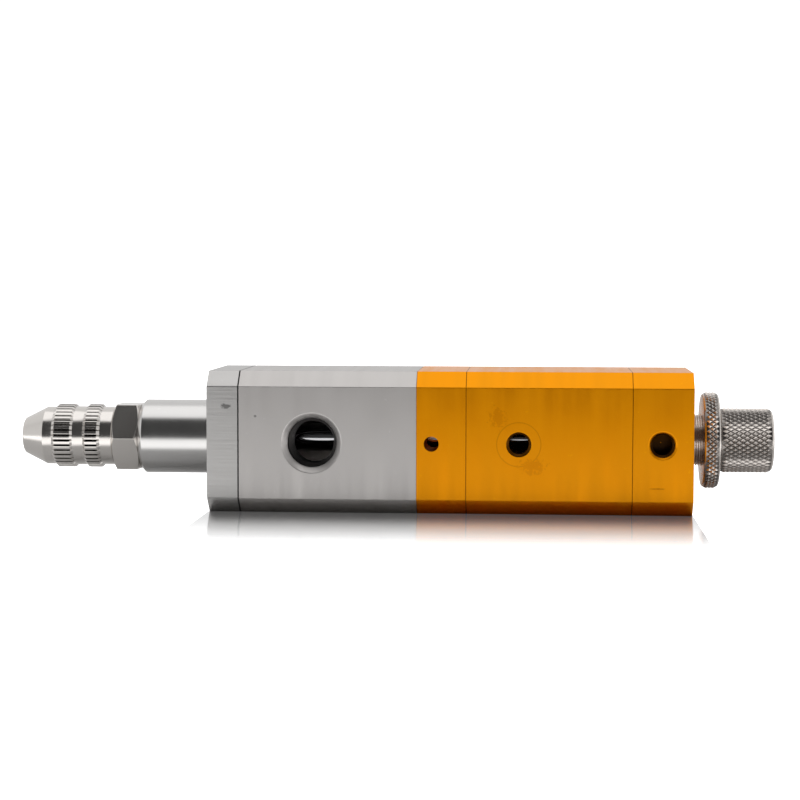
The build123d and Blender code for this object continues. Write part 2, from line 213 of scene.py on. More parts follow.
def room(dim_front, bright):
    """The surroundings: bright all round, but dim straight in front, and plain white to the camera."""
    world = bpy.data.worlds.new("studio")
    bpy.context.scene.world = world
    world.use_nodes = True
    tree = world.node_tree
    nodes, links = tree.nodes, tree.links
    background = nodes["Background"]
    direction = split(tree, nodes.new("ShaderNodeTexCoord").outputs["Generated"])
    to_front = ramp_node(tree, direction["Y"], 0.1, -0.1)
    below_box = ramp_node(tree, direction["Z"], 0.92, 0.82)
    off_sides = ramp_node(tree, math_node(tree, "ABSOLUTE", direction["X"]), 0.98, 0.35)
    mask = math_node(tree, "MULTIPLY", math_node(tree, "MULTIPLY", to_front, below_box), off_sides)
    shade = nodes.new("ShaderNodeMix")
    shade.data_type = "RGBA"
    shade.inputs["A"].default_value = (bright, bright, bright, 1)
    shade.inputs["B"].default_value = (dim_front, dim_front, dim_front, 1)
    links.new(mask, shade.inputs["Factor"])
    seen = nodes.new("ShaderNodeLightPath")
    plain = nodes.new("ShaderNodeMix")
    plain.data_type = "RGBA"
    plain.inputs["B"].default_value = (BACKDROP_WHITE, BACKDROP_WHITE, BACKDROP_WHITE, 1)
    links.new(seen.outputs["Is Camera Ray"], plain.inputs["Factor"])
    links.new(shade.outputs["Result"], plain.inputs["A"])
    links.new(plain.outputs["Result"], background.inputs["Color"])


room(dim_front=0.06, bright=0.85)

# %% [markdown]
# ## Shared effects as node groups
# Several finishes need the same things: fine lines left by a cutter, a cloudy unevenness with small specks,
# ragged spots from use, and the way to a port, for painted shade on its threads and for rubbed rings. Each is
# built once as a node group with named inputs, then placed in every material that has it, with its own
# numbers.

# %% How a group is made
def new_group(name, inputs, outputs):
    tree = bpy.data.node_groups.new(name, "ShaderNodeTree")
    for socket, kind, value in inputs:
        made = tree.interface.new_socket(socket, in_out="INPUT", socket_type=kind)
        if value is not None:
            made.default_value = value
    for socket, kind in outputs:
        tree.interface.new_socket(socket, in_out="OUTPUT", socket_type=kind)
    return tree, tree.nodes.new("NodeGroupInput"), tree.nodes.new("NodeGroupOutput")


# %% Cutter lines
def make_cutter_lines():
    """Fine parallel lines: noise that is squeezed along one direction by the Stretch vector."""
    tree, given, result = new_group(
        "cutter lines",
        [("Vector", "NodeSocketVector", None), ("Stretch", "NodeSocketVector", (1, 1, 1)),
         ("Lines per metre", "NodeSocketFloat", 4000.0)],
        [("Height", "NodeSocketFloat")])
    stretched = vector_node(tree, "MULTIPLY", given.outputs["Vector"], given.outputs["Stretch"])
    lines = noise_node(tree, stretched, given.outputs["Lines per metre"], 3.0, 0.65)
    tree.links.new(lines, result.inputs["Height"])
    return tree


CUTTER_LINES = make_cutter_lines()


# %% Clouds and specks
SPECK_SHARPNESS = 30.0


def make_handling():
    """Two masks: Cloud is a slow unevenness, Speck is 1 on a few small marks and 0 elsewhere."""
    tree, given, result = new_group(
        "handling",
        [("Vector", "NodeSocketVector", None), ("Cloud size", "NodeSocketFloat", 120.0),
         ("Speck size", "NodeSocketFloat", 900.0), ("Speck limit", "NodeSocketFloat", 0.72)],
        [("Cloud", "NodeSocketFloat"), ("Speck", "NodeSocketFloat")])
    cloud = noise_node(tree, given.outputs["Vector"], given.outputs["Cloud size"], 4.0)
    speck = noise_node(tree, given.outputs["Vector"], given.outputs["Speck size"], 2.0)
    over = math_node(tree, "SUBTRACT", speck, given.outputs["Speck limit"])
    tree.links.new(cloud, result.inputs["Cloud"])
    tree.links.new(hold(tree, math_node(tree, "MULTIPLY", over, SPECK_SHARPNESS)), result.inputs["Speck"])
    return tree


HANDLING = make_handling()


# %% Distance from a port
HALF_BLOCK = 12 * MM        # deeper than any port's thread


def make_from_port():
    """How far a place is from a port's axis, which runs along Y. The block's far half counts as far away."""
    tree, given, result = new_group(
        "distance from port",
        [("Vector", "NodeSocketVector", None), ("Port", "NodeSocketVector", (0, 0, 0))],
        [("Distance", "NodeSocketFloat")])
    offset = split(tree, vector_node(tree, "SUBTRACT", given.outputs["Vector"], given.outputs["Port"]))
    distance = from_line(tree, offset["X"], offset["Z"])
    behind = math_node(tree, "GREATER_THAN", offset["Y"], HALF_BLOCK)
    tree.links.new(math_node(tree, "ADD", distance, behind), result.inputs["Distance"])
    return tree


FROM_PORT = make_from_port()
print("node groups:", [g.name for g in bpy.data.node_groups])

# %% [markdown]
# ## Metal finishes
# One function makes every metal here, because they differ only in numbers: colour, how rough, which way the
# cutter's lines run, how cloudy they are, where it is marked. The gold gets a thin clear coat on top: the
# clear oxide is what turns pale at a grazing look, while the dyed metal below keeps its colour.

# %% Marks from use, darker lines at the seams, and painted shade in grooves
EDGE_GRAIN = 1400       # how fine a mark's ragged edge is
MARK_SHARPNESS = 3.0


def make_mark():
    """A ragged spot: 1 inside, 0 outside. Stretch is one over its half size along each axis."""
    tree, given, result = new_group(
        "mark",
        [("Vector", "NodeSocketVector", None), ("Middle", "NodeSocketVector", (0, 0, 0)),
         ("Stretch", "NodeSocketVector", (500, 500, 500)), ("Ragged", "NodeSocketFloat", 0.8)],
        [("Mask", "NodeSocketFloat")])
    offset = vector_node(tree, "SUBTRACT", given.outputs["Vector"], given.outputs["Middle"])
    size = tree.nodes.new("ShaderNodeVectorMath")
    size.operation = "LENGTH"
    tree.links.new(vector_node(tree, "MULTIPLY", offset, given.outputs["Stretch"]), size.inputs[0])
    rough_edge = math_node(tree, "SUBTRACT", noise_node(tree, given.outputs["Vector"], EDGE_GRAIN, 3.0), 0.5)
    rough_edge = math_node(tree, "MULTIPLY", rough_edge, given.outputs["Ragged"])
    inside = math_node(tree, "SUBTRACT", 1.0, math_node(tree, "ADD", size.outputs["Value"], rough_edge))
    tree.links.new(hold(tree, math_node(tree, "MULTIPLY", inside, MARK_SHARPNESS)), result.inputs["Mask"])
    return tree


MARK = make_mark()


def tone(tree, base, mask, colour, shade):
    """Mixes colour times shade over the base where the mask is 1. Returns the new colour socket."""
    mixed = tree.nodes.new("ShaderNodeMix")
    mixed.data_type = "RGBA"
    mixed.inputs["B"].default_value = (*(min(1.0, c * shade) for c in colour), 1)
    tree.links.new(mask, mixed.inputs["Factor"])
    tree.links.new(base, mixed.inputs["A"])
    return mixed.outputs["Result"]


def add_mark(tree, place, base, colour, middle, half_size, shade, ragged):
    spot = tree.nodes.new("ShaderNodeGroup")
    spot.node_tree = MARK
    spot.inputs["Middle"].default_value = middle
    spot.inputs["Stretch"].default_value = [1 / (size * MM) for size in half_size]
    spot.inputs["Ragged"].default_value = ragged
    tree.links.new(place, spot.inputs["Vector"])
    return tone(tree, base, spot.outputs["Mask"], colour, shade)


def add_groove_shade(tree, place, base, colour, x_from, x_to, radius, soft, shade):
    """Painted shade in the grooves of a round band: full below the radius, gone by radius plus soft."""
    centred = tree.nodes.new("ShaderNodeVectorMath")
    centred.operation = "SUBTRACT"
    centred.inputs[1].default_value = (0, 0, AXIS_HEIGHT)
    tree.links.new(place, centred.inputs[0])
    parts = split(tree, centred.outputs[0])
    deep = ramp_node(tree, from_line(tree, parts["Y"], parts["Z"]), radius + soft, radius, "LINEAR")
    after = math_node(tree, "GREATER_THAN", parts["X"], x_from)
    before = math_node(tree, "LESS_THAN", parts["X"], x_to)
    mask = math_node(tree, "MULTIPLY", math_node(tree, "MULTIPLY", after, before), deep)
    return tone(tree, base, mask, colour, shade)


def add_seam(tree, place, base, colour, seam_x, half_width, shade):
    """A darker line where two blocks meet."""
    away = math_node(tree, "ABSOLUTE", math_node(tree, "SUBTRACT", split(tree, place)["X"], seam_x))
    return tone(tree, base, math_node(tree, "LESS_THAN", away, half_width * MM), colour, shade)


# %% Painted shade in the ports, and worn rings
RING_HALF_WIDTH = 0.12 * MM
RING_STRENGTH = 0.6
RING_SHADE = 0.72


def add_port_shade_and_ring(tree, place, base, colour, port_place, port_radius, shade, ring_radius):
    """Inside the radius the threads and bore are painted darker: painted shade in the hole. Just outside, a
    fitting's collar has rubbed.
    """
    near = tree.nodes.new("ShaderNodeGroup")
    near.node_tree = FROM_PORT
    near.inputs["Port"].default_value = port_place
    tree.links.new(place, near.inputs["Vector"])
    distance = near.outputs["Distance"]
    base = tone(tree, base, math_node(tree, "LESS_THAN", distance, port_radius * MM), colour, shade)
    off_ring = math_node(tree, "ABSOLUTE", math_node(tree, "SUBTRACT", distance, ring_radius * MM))
    on_ring = math_node(tree, "LESS_THAN", off_ring, RING_HALF_WIDTH)
    return tone(tree, base, math_node(tree, "MULTIPLY", on_ring, RING_STRENGTH), colour, RING_SHADE)


# %% The metal maker
BROAD_PASSES = 420      # broad cutter passes per metre


def metal(name, colour, worn_colour, roughness, line_stretch, lines_per_metre, line_depth, cloud=0.12,
          speck_limit=0.72, streak=0.0, ports=(), seams=(), marks=(), groove_shade=()):
    """A metal with cutter lines, clouds and specks.

    line_stretch is large across the lines and small along them. streak is how far broad cutter passes differ
    in colour and roughness. Each port is (place, radius, shade, radius of the rubbed ring), its shade painted
    shade in the hole; each seam (x, half width, shade), each mark (middle, half size, shade, ragged) and each
    groove_shade (x from, x to, radius, soft, shade), painted shade in grooves; every shade multiplies the
    colour.
    """
    material = bpy.data.materials.new(name)
    material.use_nodes = True
    tree = material.node_tree
    nodes, links = tree.nodes, tree.links
    surface = nodes["Principled BSDF"]
    surface.inputs["Metallic"].default_value = 1.0
    place = nodes.new("ShaderNodeTexCoord").outputs["Object"]
    lines = nodes.new("ShaderNodeGroup")
    lines.node_tree = CUTTER_LINES
    lines.inputs["Stretch"].default_value = line_stretch
    lines.inputs["Lines per metre"].default_value = lines_per_metre
    links.new(place, lines.inputs["Vector"])
    handling = nodes.new("ShaderNodeGroup")
    handling.node_tree = HANDLING
    handling.inputs["Speck limit"].default_value = speck_limit
    links.new(place, handling.inputs["Vector"])
    tint = nodes.new("ShaderNodeMix")
    tint.data_type = "RGBA"
    tint.inputs["A"].default_value = (*colour, 1)
    tint.inputs["B"].default_value = (*worn_colour, 1)
    broad = nodes.new("ShaderNodeGroup")
    broad.node_tree = CUTTER_LINES
    broad.inputs["Stretch"].default_value = line_stretch
    broad.inputs["Lines per metre"].default_value = BROAD_PASSES
    links.new(place, broad.inputs["Vector"])
    passes = math_node(tree, "MULTIPLY", math_node(tree, "SUBTRACT", broad.outputs["Height"], 0.5), streak)
    amount = math_node(tree, "ADD", math_node(tree, "MULTIPLY", handling.outputs["Cloud"], 0.5), passes)
    amount = math_node(tree, "ADD", amount, math_node(tree, "MULTIPLY", handling.outputs["Speck"], 0.5))
    links.new(amount, tint.inputs["Factor"])
    base = tint.outputs["Result"]
    for port in ports:
        base = add_port_shade_and_ring(tree, place, base, colour, *port)
    for mark in marks:
        base = add_mark(tree, place, base, colour, *mark)
    for seam in seams:
        base = add_seam(tree, place, base, colour, *seam)
    for shaded_band in groove_shade:
        base = add_groove_shade(tree, place, base, colour, *shaded_band)
    links.new(base, surface.inputs["Base Color"])
    rough = math_node(tree, "MULTIPLY", math_node(tree, "SUBTRACT", handling.outputs["Cloud"], 0.5), cloud)
    streaks = math_node(tree, "MULTIPLY", passes, 0.5)
    rough = math_node(tree, "ADD", math_node(tree, "ADD", rough, streaks), roughness)
    links.new(rough, surface.inputs["Roughness"])
    bump = nodes.new("ShaderNodeBump")
    bump.inputs["Strength"].default_value = 1.0
    bump.inputs["Distance"].default_value = line_depth
    links.new(lines.outputs["Height"], bump.inputs["Height"])
    links.new(bump.outputs["Normal"], surface.inputs["Normal"])
    return material


# %% The valve's metals
ALONG_X = (0.02, 1.0, 1.0)      # lines that run along the valve
ACROSS_X = (1.0, 0.02, 0.02)    # lines that run round it, as a lathe leaves them
FACED = (1.0, 0.05, 0.05)       # shorter lines across a face, as a wide cutter leaves them
EVEN = (1.0, 1.0, 1.0)
INLET = (span("fluid_body")[0] + 15.45 * MM, FRONT_FACE, AXIS_HEIGHT)
CYLINDER_PORT = (span("cylinder_body")[0] + 11.0 * MM, FRONT_FACE, AXIS_HEIGHT)
REAR_PORT = (span("rear_cap")[0] + 6.2 * MM, FRONT_FACE, AXIS_HEIGHT)
SEAMS = [span(node)[0] for node in ("fluid_body", "spacer_block", "cylinder_body", "rear_cap")]


def on_face(node, x, z):
    """A place on a block's front face: x in mm from the block's left, z in mm above the axis."""
    return (span(node)[0] + x * MM, FRONT_FACE, AXIS_HEIGHT + z * MM)


DING = (on_face("front_cap", 4.1, 7.6), (1.2, 3.0, 0.6), 0.42, 1.6)
KNOCK = (on_face("fluid_body", 3.6, 5.6), (0.35, 3.0, 0.3), 0.55, 0.8)
SCRATCH = (on_face("rear_cap", 5.2, -9.0), (1.9, 3.0, 0.16), 0.62, 0.9)
STAINS = (
    (on_face("cylinder_body", 6.6, 5.6), (1.7, 3.0, 2.3), 0.90, 3.4),
    (on_face("cylinder_body", 14.0, -4.6), (2.8, 3.0, 1.7), 0.90, 3.4),
)
# The port entry paints shade into the inlet: its threads and bore are painted darker.
silver = metal("silver_anodised", (0.49, 0.47, 0.455), (0.56, 0.54, 0.53), 0.40, FACED, 1500, 5e-6,
               streak=0.5, ports=((INLET, 5.18, 0.07, 0.0),),
               seams=((SEAMS[0], 0.10, 0.12), (SEAMS[1], 0.05, 0.5)), marks=(KNOCK,))
silver_cap = metal("silver_milled", (0.47, 0.46, 0.45), (0.56, 0.55, 0.54), 0.38, ALONG_X, 2200, 2.5e-5,
                   streak=0.5, seams=((SEAMS[0], 0.22, 0.12),), marks=(DING,))
# The port entries paint shade into both ports' holes. The cylinder port also has a rubbed ring.
gold = metal("gold_anodised", (0.76, 0.258, 0.0012), (0.84, 0.34, 0.003), 0.36, FACED, 1500, 4e-6,
             streak=0.6, ports=((CYLINDER_PORT, 2.62, 0.12, 4.6), (REAR_PORT, 2.55, 0.05, 0.0)),
             seams=((SEAMS[1], 0.06, 0.5), (SEAMS[2], 0.09, 0.4), (SEAMS[3], 0.09, 0.4)),
             marks=(SCRATCH, *STAINS))
gold_surface = gold.node_tree.nodes["Principled BSDF"]
gold_surface.inputs["Coat Weight"].default_value = 0.12
gold_surface.inputs["Coat IOR"].default_value = 1.3
gold_surface.inputs["Coat Roughness"].default_value = 0.15
NICKEL = ((0.66, 0.63, 0.60), (0.72, 0.69, 0.66))
nickel = metal("nickel_plate", *NICKEL, 0.16, EVEN, 2500, 2e-6, cloud=0.1)
CAP_FRONT = span("needle_lock_cap")[0]
CAP_BANDS = ((7.6, 11.1), (14.4, 17.0))     # the fluted bands, in mm from the cap's front
# These entries paint shade into the flute valleys: the colour below the ridges is painted darker.
fluted = metal("nickel_plate_fluted", *NICKEL, 0.18, EVEN, 2500, 2e-6, cloud=0.1,
               groove_shade=[(CAP_FRONT + start * MM, CAP_FRONT + end * MM, 6.70 * MM, 0.14 * MM, 0.08)
                      for start, end in CAP_BANDS])
NUT_VALLEY = 10.0 * MM
NUT_HEIGHT = 0.36 * MM
KNOB_VALLEY = 6.60 * MM
KNOB_HEIGHT = 0.36 * MM
NUT_BAND = (span("lock_nut")[0] + 0.35 * MM, span("lock_nut")[1] - 0.35 * MM)
KNOB_BAND = (span("lock_nut_washer")[1] + 0.17 * MM, span("adjusting_knob")[1] - 0.5 * MM)
# These entries paint shade into the knurls' valleys: the colour near the valley radius is painted darker.
knurled = metal("nickel_plate_knurled", (0.66, 0.61, 0.57), (0.74, 0.69, 0.65), 0.26, EVEN, 2500, 2e-6,
                cloud=0.1, groove_shade=((*NUT_BAND, NUT_VALLEY + 0.03 * MM, 0.14 * MM, 0.34),
                                  (*KNOB_BAND, KNOB_VALLEY + 0.03 * MM, 0.13 * MM, 0.36)))
stainless = metal("turned_stainless", (0.60, 0.59, 0.58), (0.66, 0.65, 0.64), 0.22, ACROSS_X, 9000, 2e-6)
screw_steel = metal("screw_steel", (0.42, 0.42, 0.42), (0.52, 0.52, 0.51), 0.30, EVEN, 3000, 3e-6)
rod_steel = metal("ground_chrome", (0.42, 0.42, 0.43), (0.46, 0.46, 0.47), 0.08, ACROSS_X, 14000, 1e-6)
bronze = metal("sintered_bronze", (0.42, 0.22, 0.08), (0.50, 0.30, 0.12), 0.50, EVEN, 6000, 8e-6)
print("metals made:", len(bpy.data.materials))

# %% [markdown]
# ## Rubber and white polymer
# The seals hardly show, but each is still a real finish: matt black rubber with a dusty bloom, and waxy
# white polymer that takes fine scratches.

# %% Soft finishes
SOFT_GRAIN = 5000       # grains per metre


def soft_finish(name, colour, dusty_colour, roughness, grain_depth):
    material = bpy.data.materials.new(name)
    material.use_nodes = True
    tree = material.node_tree
    surface = tree.nodes["Principled BSDF"]
    place = tree.nodes.new("ShaderNodeTexCoord").outputs["Object"]
    handling = tree.nodes.new("ShaderNodeGroup")
    handling.node_tree = HANDLING
    tree.links.new(place, handling.inputs["Vector"])
    tint = tree.nodes.new("ShaderNodeMix")
    tint.data_type = "RGBA"
    tint.inputs["A"].default_value = (*colour, 1)
    tint.inputs["B"].default_value = (*dusty_colour, 1)
    tree.links.new(handling.outputs["Cloud"], tint.inputs["Factor"])
    tree.links.new(tint.outputs["Result"], surface.inputs["Base Color"])
    surface.inputs["Roughness"].default_value = roughness
    bump = tree.nodes.new("ShaderNodeBump")
    bump.inputs["Distance"].default_value = grain_depth
    tree.links.new(noise_node(tree, place, SOFT_GRAIN, 2.0), bump.inputs["Height"])
    tree.links.new(bump.outputs["Normal"], surface.inputs["Normal"])
    return material


rubber = soft_finish("seal_rubber", (0.015, 0.015, 0.015), (0.05, 0.05, 0.048), 0.6, 1e-5)
polymer = soft_finish("white_polymer", (0.80, 0.79, 0.76), (0.86, 0.85, 0.83), 0.45, 3e-6)

# %% [markdown]
# ## Kept solids
# Pieces whose solid is already the right shape stay as they are, and only get their finish.

# %% Finishes for the kept solids
KEPT = {
    rubber: ("front_cap_o_ring", "seat_o_ring", "adapter_o_ring", "needle_gasket", "rod_o_ring",
             "spacer_o_ring", "rear_cap_o_ring", "piston_seal", "adjuster_o_ring"),
    polymer: ("valve_seat", "fluid_rod_seal"),
    stainless: ("seal_retainer", "rod_tip", "piston", "piston_washer", "piston_nut", "lock_nut_washer"),
    rod_steel: ("valve_rod",),
    bronze: ("rod_guide_bush",),
}


def give(obj, material):
    obj.data.materials.clear()
    obj.data.materials.append(material)


for material, names in KEPT.items():
    for name in names:
        give(frame["nodes"][name], material)
print("kept solids:", sum(len(names) for names in KEPT.values()))

# %% [markdown]
# ## Working like a hand
# Operators act on whatever is selected, so each step first clears the selection. These helpers select one
# object, open it for editing, and pick vertices, edges or faces by where they are.

# %% Selection helpers
def only(obj):
    bpy.ops.object.select_all(action="DESELECT")
    obj.select_set(True)
    bpy.context.view_layer.objects.active = obj


def start_edit(obj, kind):
    """Opens obj for editing in VERT, EDGE or FACE mode with nothing selected."""
    only(obj)
    bpy.ops.object.mode_set(mode="EDIT")
    bpy.ops.mesh.select_mode(type=kind)
    bpy.ops.mesh.select_all(action="DESELECT")


def end_edit():
    bpy.ops.object.mode_set(mode="OBJECT")


def pick(obj, kind, test):
    """Selects the VERT, EDGE or FACE elements whose middle passes the test. Leaves obj open for editing."""
    start_edit(obj, kind)
    bpy.ops.object.mode_set(mode="OBJECT")
    mesh = obj.data
    places = [v.co for v in mesh.vertices]
    if kind == "VERT":
        chosen = [(v, v.co) for v in mesh.vertices]
    elif kind == "EDGE":
        chosen = [(e, (places[e.vertices[0]] + places[e.vertices[1]]) / 2) for e in mesh.edges]
    else:
        chosen = [(f, f.center) for f in mesh.polygons]
    count = 0
    for element, middle in chosen:
        if test(element, middle):
            element.select = True
            count += 1
    bpy.ops.object.mode_set(mode="EDIT")
    return count


def finish_piece(obj, body, material, stands_for, smooth_angle=30):
    """Last steps for a piece: smooth shading that keeps flat faces flat, its finish, and what it rides on."""
    only(obj)
    bpy.ops.object.transform_apply(location=True, rotation=True, scale=True)
    bpy.ops.object.shade_smooth_by_angle(angle=math.radians(smooth_angle))
    flatter = obj.modifiers.new("flat faces stay flat", "WEIGHTED_NORMAL")
    flatter.keep_sharp = True
    bpy.ops.object.modifier_apply(modifier=flatter.name)
    give(obj, material)
    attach(obj, body)
    if stands_for:
        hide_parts(*stands_for)
    print(obj.name, len(obj.data.polygons), "faces")


# %% [markdown]
# ## Machined blocks
# A milled block never has a knife edge: each edge is broken by a tenth of a millimetre, and that thin bevel
# is what catches the light and draws the seam where two blocks meet. The solids have the right shape with
# sharp edges, so a copy of each one is welded, cleaned of its triangles on flat faces, and bevelled.

# %% Breaking edges
EDGE_BREAK = 0.09 * MM
WIDE_BREAK = 0.20 * MM      # the front cap is tumbled, and its seam reads as a dark groove


def bevel_edges(obj, width, angle):
    """A two-step bevel on every edge sharper than the angle."""
    bevel = obj.modifiers.new("broken edges", "BEVEL")
    bevel.width = width
    bevel.segments = 2
    bevel.limit_method = "ANGLE"
    bevel.angle_limit = math.radians(angle)
    bevel.use_clamp_overlap = False
    bevel.miter_outer = "MITER_ARC"
    only(obj)
    bpy.ops.object.modifier_apply(modifier=bevel.name)


def welded_copy(node, name):
    """A copy of a CAD node whose loose triangles are joined into one skin."""
    only(frame["nodes"][node])
    bpy.ops.object.duplicate()
    copy = bpy.context.active_object
    copy.name = name
    bpy.ops.object.parent_clear(type="CLEAR_KEEP_TRANSFORM")
    for key in list(copy.keys()):
        del copy[key]
    bpy.ops.mesh.customdata_custom_splitnormals_clear()
    start_edit(copy, "VERT")
    bpy.ops.mesh.select_all(action="SELECT")
    bpy.ops.mesh.remove_doubles(threshold=0.002 * MM)
    end_edit()
    return copy


def broken_edge_copy(node, name, width):
    """A welded copy whose flat faces are whole and whose sharp edges are all bevelled."""
    copy = welded_copy(node, name)
    start_edit(copy, "VERT")
    bpy.ops.mesh.select_all(action="SELECT")
    bpy.ops.mesh.dissolve_limited(angle_limit=math.radians(0.5))
    end_edit()
    bevel_edges(copy, width, 28)
    return copy


# %% The five blocks
BLOCKS = (
    ("front_cap", "front_cap_milled", "silver_aluminium", silver_cap),
    ("fluid_body", "fluid_body_milled", "silver_aluminium", silver),
    ("spacer_block", "spacer_milled", "gold_aluminium", gold),
    ("cylinder_body", "cylinder_milled", "gold_aluminium", gold),
    ("rear_cap", "rear_cap_milled", "gold_aluminium", gold),
)
for node, name, slot, material in BLOCKS:
    width = WIDE_BREAK if node == "front_cap" else EDGE_BREAK
    finish_piece(broken_edge_copy(node, name, width), "valve_body", material, (node,))

# %% Collar, adapter and screws
TURNED = (
    ("outlet_collar", "collar_turned", "stainless", stainless),
    ("needle_adapter", "adapter_turned", "nickel_plate", nickel),
    ("front_cap_screws", "front_screws", "screw_steel", screw_steel),
    ("rear_tie_screws", "tie_screws", "screw_steel", screw_steel),
)
for node, name, slot, material in TURNED:
    finish_piece(broken_edge_copy(node, name, EDGE_BREAK), "valve_body", material, (node,))

# %% [markdown]
# ## The closing spring
# The spring sits between the piston and the bottom of its pocket in the rear cap. Here it is a rigid welded
# copy that rides with the valve body, so the piston would pierce it when the valve opens.

# %% Closing spring, a rigid copy
spring = welded_copy("return_spring", "closing_spring")
finish_piece(spring, "valve_body", screw_steel, ("return_spring",))
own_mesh(spring)

# %% [markdown]
# ## Turning on a lathe
# A lathe makes a round piece from a profile: a line of (place along X, radius) points. The same is done
# here: the line is drawn point by point, then spun once round the valve's axis.

# %% The lathe
def draw_line(name, place, steps):
    """A line that starts at place and goes on by each of the steps. Leaves it open for editing."""
    bpy.ops.object.select_all(action="DESELECT")
    bpy.ops.mesh.primitive_plane_add(size=MM, location=(0, 0, 0))
    line = bpy.context.active_object
    line.name = name
    bpy.ops.object.mode_set(mode="EDIT")
    bpy.ops.mesh.select_all(action="SELECT")
    bpy.ops.mesh.merge(type="CENTER")
    bpy.ops.transform.translate(value=place)
    for step in steps:
        bpy.ops.mesh.extrude_vertices_move(TRANSFORM_OT_translate={"value": step})
    bpy.ops.mesh.select_all(action="SELECT")
    return line


def turn(name, profile, sides):
    """Spins a profile of (x, radius) in metres once round the valve's axis."""
    steps = [(b[0] - a[0], 0, b[1] - a[1]) for a, b in zip(profile, profile[1:])]
    piece = draw_line(name, (profile[0][0], 0, AXIS_HEIGHT + profile[0][1]), steps)
    bpy.ops.mesh.spin(steps=sides, angle=math.tau, center=(0, 0, AXIS_HEIGHT), axis=(1, 0, 0))
    bpy.ops.mesh.select_all(action="SELECT")
    bpy.ops.mesh.remove_doubles(threshold=0.001 * MM)
    bpy.ops.mesh.normals_make_consistent(inside=False)
    end_edit()
    return piece


def from_end(start, direction, *points):
    """Profile points in mm, counted from a piece's end, as metres in the frame."""
    return [(start + direction * x * MM, r * MM) for x, r in points]


def reach(place):
    """How far a place is from the valve's axis."""
    return math.hypot(place.y, place.z - AXIS_HEIGHT)


def side_number(place, sides):
    """Which of the lathe's steps a place is on, counted from the top."""
    return round(math.atan2(place.y, place.z - AXIS_HEIGHT) / math.tau * sides) % sides


def push_radius(factor):
    """Moves the selection towards or away from the valve's axis."""
    bpy.ops.transform.resize(value=(1, factor, factor), center_override=(0, 0, AXIS_HEIGHT))


# %% [markdown]
# ## The fluted needle cap
# Two grip bands with 38 flutes each. The lathe's step count is five for every flute, so pulling in every
# fifth row of vertices on a band cuts a narrow V and leaves a broad ridge beside it.

# %% Needle cap
FLUTES = 38
STEPS_PER_FLUTE = 5
cap = turn("needle_cap_fluted", from_end(
    CAP_FRONT, 1, (0, 2.45), (0, 3.37), (0.05, 3.62), (0.18, 3.84), (0.39, 3.99), (5.0, 6.3), (7.0, 6.3),
    (7.6, 6.9), (11.1, 6.9), (11.6, 6.4), (13.9, 6.4), (14.4, 6.9), (17.0, 6.9), (17.6, 6.3),
    (20.05, 6.3), (20.3, 6.05), (20.3, 4.7), (20.15, 4.55), (13.5, 4.55), (13.5, 3.6), (8.0, 3.6),
    (8.0, 2.3), (0.15, 2.3), (0, 2.45)), FLUTES * STEPS_PER_FLUTE)
BAND_RADIUS = 6.9 * MM
FLUTE_DEPTH = 0.50 * MM
CAP_EDGE_BREAK = 0.06 * MM
pick(cap, "VERT", lambda v, place: reach(place) > BAND_RADIUS - 0.01 * MM
     and side_number(place, FLUTES * STEPS_PER_FLUTE) % STEPS_PER_FLUTE == 0)
push_radius((BAND_RADIUS - FLUTE_DEPTH) / BAND_RADIUS)
end_edit()
bevel_edges(cap, CAP_EDGE_BREAK, 40)
finish_piece(cap, "needle_cap", fluted, ("needle_lock_cap",), smooth_angle=20)

# %% [markdown]
# ## Diamond knurls
# A knurling wheel presses a net of diamonds into a round face, and each diamond rises to a small worn
# point. On a lathe-turned band of square cells this takes three moves. Give every cell a middle vertex, so
# that it has diagonals. Dissolve the old edges between cells, which leaves diamonds standing on their
# corners. Then give every diamond a raised middle, and cut its tip off.

# %% The knurling wheel
WORN_TIP = 0.13 * MM        # how far down its edges a diamond's tip is cut off


def knurl(piece, x_from, x_to, valley_radius, height):
    """Diamonds on the band of faces between x_from and x_to whose radius is valley_radius."""
    hair = 0.02 * MM

    def on_band(place):
        return x_from < place.x < x_to and reach(place) > valley_radius * 0.97

    def old_edge(edge, place):
        a, b = (piece.data.vertices[i].co for i in edge.vertices)
        straight = abs(a.x - b.x) < hair or math.hypot(a.y - b.y, a.z - b.z) < hair
        return on_band(place) and x_from + hair < place.x < x_to - hair and straight

    pick(piece, "FACE", lambda face, place: on_band(place))
    bpy.ops.mesh.poke()
    end_edit()
    pick(piece, "EDGE", old_edge)
    bpy.ops.mesh.dissolve_edges(use_verts=False)
    end_edit()
    diamonds = pick(piece, "FACE", lambda face, place: on_band(place) and len(face.vertices) == 4)
    bpy.ops.mesh.poke(offset=height)
    end_edit()
    pick(piece, "VERT", lambda v, place: on_band(place) and reach(place) > valley_radius + height / 2)
    bpy.ops.mesh.bevel(affect="VERTICES", offset=WORN_TIP, segments=1)
    end_edit()
    print(piece.name, "has", diamonds, "diamonds")


def rows(x_from, x_to, radius, count):
    """Profile points along a band that is to be knurled: one more point than it has rows."""
    return [(x_from + (x_to - x_from) * i / count, radius) for i in range(count + 1)]


# %% Lock nut
nut_front, nut_rear = span("lock_nut")
nut_profile = from_end(nut_front, 1, (0.2, 5.55), (0, 5.75), (0, 9.65), (0.1, 9.85))
nut_profile += rows(*NUT_BAND, NUT_VALLEY, 2)
nut_profile += from_end(nut_rear, -1, (0.1, 9.85), (0, 9.65), (0, 5.75), (0.2, 5.55))
nut_profile.append(nut_profile[0])
lock_nut = turn("lock_nut_knurled", nut_profile, 58)
knurl(lock_nut, *NUT_BAND, NUT_VALLEY, NUT_HEIGHT)
finish_piece(lock_nut, "nut", knurled, ("lock_nut",))

